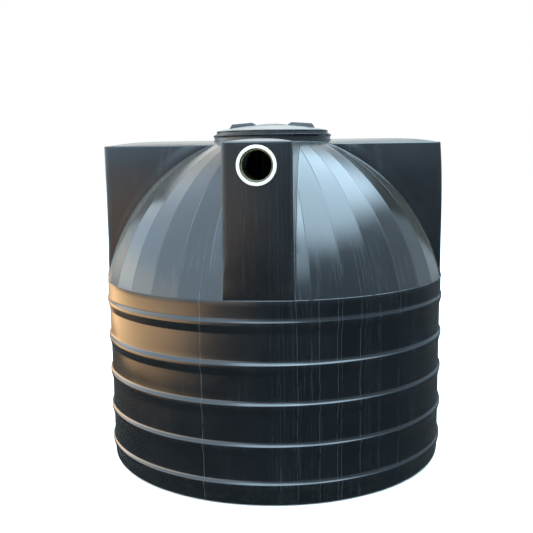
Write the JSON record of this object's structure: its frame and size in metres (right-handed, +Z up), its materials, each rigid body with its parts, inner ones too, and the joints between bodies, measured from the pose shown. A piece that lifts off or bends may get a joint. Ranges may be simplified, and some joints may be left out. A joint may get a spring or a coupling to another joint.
{
  "type": "septic tank",
  "caption": "Upright moulded plastic septic tank: ribbed round wall, gored dome with square boxes, manhole neck with a lift-off lid, and pipe sockets.",
  "frame": {"origin": "centre of the flat base, on the ground", "axes": "+Z up; -Y towards the inlet socket; +X to the right as seen from the inlet"},
  "size_m": [1.2384, 1.2384, 1.2115],
  "materials": {
    "shell_black": "moulded polyethylene, semi-gloss, faintly wavy",
    "lid_black": "moulded polyethylene, satin, dusty on top",
    "grip_black": "moulded polyethylene, satin",
    "pipe_white": "extruded pvc, smooth",
    "seal_rubber": "moulded rubber ring",
    "pipe_olive": "extruded pvc, smooth, discoloured"
  },
  "bodies": {
    "tank": {"dome_front_left": "shell_black", "dome_front_right": "shell_black", "dome_rear_left": "shell_black", "dome_rear_right": "shell_black", "front_box_face": "shell_black", "front_box_left_side": "shell_black", "front_box_right_side": "shell_black", "front_box_top": "shell_black", "inlet_pipe": "pipe_olive", "inlet_seal": "seal_rubber", "inlet_socket": "pipe_white", "left_box_face": "shell_black", "left_box_left_side": "shell_black", "left_box_right_side": "shell_black", "left_box_top": "shell_black", "manhole_neck": "shell_black", "outlet_pipe": "pipe_olive", "outlet_seal": "seal_rubber", "outlet_socket": "pipe_white", "rear_box_face": "shell_black", "rear_box_left_side": "shell_black", "rear_box_right_side": "shell_black", "rear_box_top": "shell_black", "right_box_face": "shell_black", "right_box_left_side": "shell_black", "right_box_right_side": "shell_black", "right_box_top": "shell_black", "tank_floor": "shell_black", "wall_segment_1": "shell_black", "wall_segment_2": "shell_black", "wall_segment_3": "shell_black", "wall_segment_4": "shell_black", "wall_segment_5": "shell_black", "wall_segment_6": "shell_black", "wall_segment_7": "shell_black", "wall_segment_8": "shell_black"},
    "lid": {"lid_cover": "lid_black", "lid_skirt": "lid_black", "lid_grip_left": "grip_black", "lid_grip_right": "grip_black"}
  },
  "joints": [
    {"name": "lid_lift", "type": "slide", "parent": "tank", "child": "lid", "axis": [0, 0, 1], "range_m": [0, 0.3]}
  ]
}
